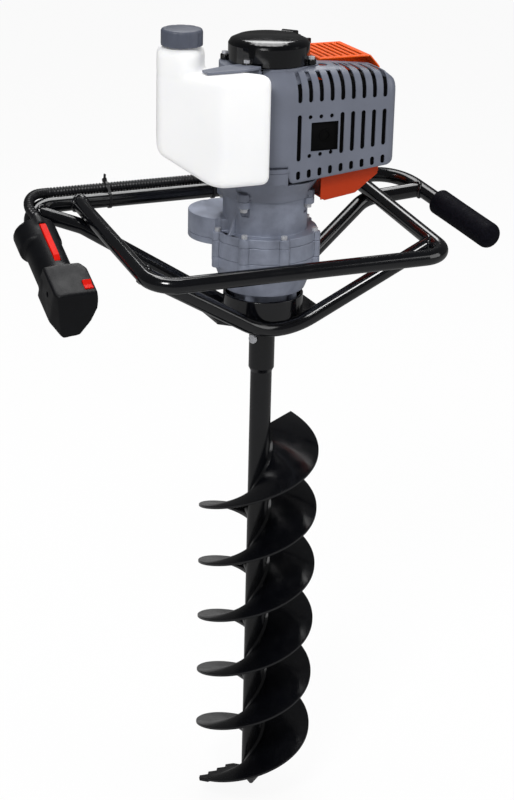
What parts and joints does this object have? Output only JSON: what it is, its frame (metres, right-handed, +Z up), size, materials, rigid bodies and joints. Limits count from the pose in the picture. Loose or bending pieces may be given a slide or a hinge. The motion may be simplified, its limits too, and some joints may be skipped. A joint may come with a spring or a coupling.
{
  "type": "earth auger",
  "caption": "Petrol earth auger: two-stroke power head with recoil start and gearbox on a bent-tube two-hand frame, driving a helical screw bit.",
  "frame": {"origin": "on the drive axis, level with the centre of the rear handlebar tube", "axes": "+X along the handlebar to the operator side grip, +Y towards the rear bar, +Z up the drive axis"},
  "size_m": [0.7195, 0.3531, 1.2308],
  "materials": {
    "black_tube": "gloss black paint on steel tube",
    "foam_grip": "soft black foam",
    "black_plastic": "moulded black nylon",
    "conduit_plastic": "corrugated black tube",
    "tie_plastic": "black nylon",
    "cast_alloy": "sand-cast, lightly blasted",
    "zinc_steel": "zinc plated",
    "bearing_steel": "ground",
    "seal_rubber": "nitrile rubber",
    "grey_paint": "grey satin paint on die casting",
    "raw_alloy": "raw die casting",
    "plug_ceramic": "white ceramic",
    "coil_resin": "potted resin",
    "black_gloss": "gloss black moulding",
    "spring_steel": "blued strip",
    "muffler_steel": "pressed sheet, dull",
    "guard_paint": "dark grey satin paint",
    "orange_plastic": "orange moulding",
    "filter_foam": "open foam",
    "tank_plastic": "white blow-moulded polyethylene",
    "gear_steel": "machined",
    "shoe_steel": "sintered with friction lining",
    "pulley_plastic": "nylon",
    "rope_cord": "braided cord",
    "red_plastic": "red moulding",
    "cap_plastic": "dark grey moulding",
    "bit_paint": "gloss black paint",
    "blade_steel": "black hardened plate"
  },
  "bodies": {
    "frame": {"handlebar": "black_tube", "front_loop": "black_tube", "front_v_tube": "black_tube", "rear_v_tube": "black_tube", "mount_plate": "black_tube", "right_grip": "foam_grip", "throttle_half_a": "black_plastic", "throttle_half_b": "black_plastic", "throttle_conduit": "conduit_plastic", "zip_ties": "tie_plastic", "gearbox_top": "cast_alloy", "gearbox_middle": "cast_alloy", "gearbox_bottom": "cast_alloy", "gearbox_screws": "zinc_steel", "case_bolts": "zinc_steel", "small_bearings": "bearing_steel", "output_bearings": "bearing_steel", "oil_seal": "seal_rubber", "engine_skirt": "grey_paint", "crankcase": "grey_paint", "engine_cylinder": "raw_alloy", "spark_plug": "plug_ceramic", "plug_boot": "seal_rubber", "ignition_coil": "coil_resin", "fan_housing": "grey_paint", "recoil_cover": "black_gloss", "recoil_screws": "zinc_steel", "recoil_spring": "spring_steel", "muffler": "muffler_steel", "muffler_guard": "guard_paint", "cylinder_cover": "orange_plastic", "carburettor": "raw_alloy", "air_box": "black_plastic", "filter_element": "filter_foam", "fuel_tank": "tank_plastic"},
    "crank": {"crankshaft": "gear_steel", "flywheel": "raw_alloy", "clutch_carrier": "gear_steel"},
    "shoe_a": {"clutch_shoe_a": "shoe_steel"},
    "shoe_b": {"clutch_shoe_b": "shoe_steel"},
    "drum": {"clutch_drum": "gear_steel"},
    "lay": {"layshaft": "gear_steel"},
    "bit": {"output_gear": "gear_steel", "output_shaft": "gear_steel", "auger_shaft": "bit_paint", "auger_flight": "bit_paint", "auger_blade": "blade_steel", "coupling_pin": "zinc_steel"},
    "piston_set": {"piston": "raw_alloy", "conrod": "gear_steel"},
    "pulley": {"starter_pulley": "pulley_plastic"},
    "pull": {"starter_handle": "black_gloss", "starter_rope": "rope_cord"},
    "trigger": {"throttle_trigger": "black_plastic"},
    "lock": {"trigger_lock": "red_plastic"},
    "switch": {"stop_switch": "red_plastic"},
    "choke": {"choke_lever": "black_plastic"},
    "seal_disc": {"cap_gasket": "seal_rubber"},
    "cap": {"fuel_cap": "cap_plastic"}
  },
  "joints": [
    {"name": "auger_spin", "type": "hinge", "parent": "frame", "child": "bit", "pos_m": [0, 0, -0.1], "axis": [0, 0, 1], "continuous": true},
    {"name": "layshaft_spin", "type": "hinge", "parent": "frame", "child": "lay", "pos_m": [-0.04015, 0.04459, -0.03], "axis": [0, 0, 1], "continuous": true},
    {"name": "input_spin", "type": "hinge", "parent": "frame", "child": "drum", "pos_m": [0, 0, 0], "axis": [0, 0, 1], "continuous": true},
    {"name": "crank_spin", "type": "hinge", "parent": "frame", "child": "crank", "pos_m": [0, 0, 0.135], "axis": [0, 0, 1], "continuous": true},
    {"name": "piston_slide", "type": "slide", "parent": "frame", "child": "piston_set", "axis": [1, 0, 0], "range_m": [0, 0.034]},
    {"name": "shoe_a_out", "type": "slide", "parent": "crank", "child": "shoe_a", "axis": [0, 1, 0], "range_m": [0, 0.0009], "stiffness_N_per_m": 8000, "springref_m": -0.001},
    {"name": "shoe_b_out", "type": "slide", "parent": "crank", "child": "shoe_b", "axis": [0, -1, 0], "range_m": [0, 0.0009], "stiffness_N_per_m": 8000, "springref_m": -0.001},
    {"name": "starter_wind", "type": "hinge", "parent": "frame", "child": "pulley", "pos_m": [0, 0, 0.246], "axis": [0, 0, 1], "range_deg": [0, 950], "stiffness_Nm_per_rad": 0.03, "springref_deg": -458.37},
    {"name": "starter_pull", "type": "slide", "parent": "frame", "child": "pull", "axis": [0.72, 0.694, 0], "range_m": [0, 0.6], "deforming": ["starter_rope"]},
    {"name": "throttle_squeeze", "type": "hinge", "parent": "frame", "child": "trigger", "pos_m": [-0.30333, 0.01047, -0.1014], "axis": [0.9997, 0.0227, 0], "range_deg": [0, 8], "stiffness_Nm_per_rad": 1.2, "springref_deg": -11.46},
    {"name": "lock_press", "type": "hinge", "parent": "frame", "child": "lock", "pos_m": [-0.30199, 0.03957, -0.0417], "axis": [-0.9997, -0.0227, 0], "range_deg": [0, 2], "stiffness_Nm_per_rad": 2, "springref_deg": -5.73},
    {"name": "stop_rock", "type": "hinge", "parent": "frame", "child": "switch", "pos_m": [-0.27479, -0.01308, -0.06715], "axis": [-0.9997, -0.0227, 0], "range_deg": [0, 8]},
    {"name": "choke_turn", "type": "hinge", "parent": "frame", "child": "choke", "pos_m": [0.106, 0.107, 0.2], "axis": [0, 0, 1], "range_deg": [0, 75]},
    {"name": "cap_lift", "type": "slide", "parent": "frame", "child": "seal_disc", "axis": [0, 0, 1], "range_m": [0, 0.01]},
    {"name": "cap_turn", "type": "hinge", "parent": "seal_disc", "child": "cap", "pos_m": [-0.137, -0.015, 0.28], "axis": [0, 0, 1], "range_deg": [0, 900]}
  ],
  "couplings": [
    {"joint": "layshaft_spin", "follows": "auger_spin", "ratio": -5.6667},
    {"joint": "input_spin", "follows": "auger_spin", "ratio": 32.111},
    {"joint": "starter_pull", "follows": "starter_wind", "m_per_rad": 0.036},
    {"joint": "cap_lift", "follows": "cap_turn", "m_per_rad": 0.00063662}
  ]
}
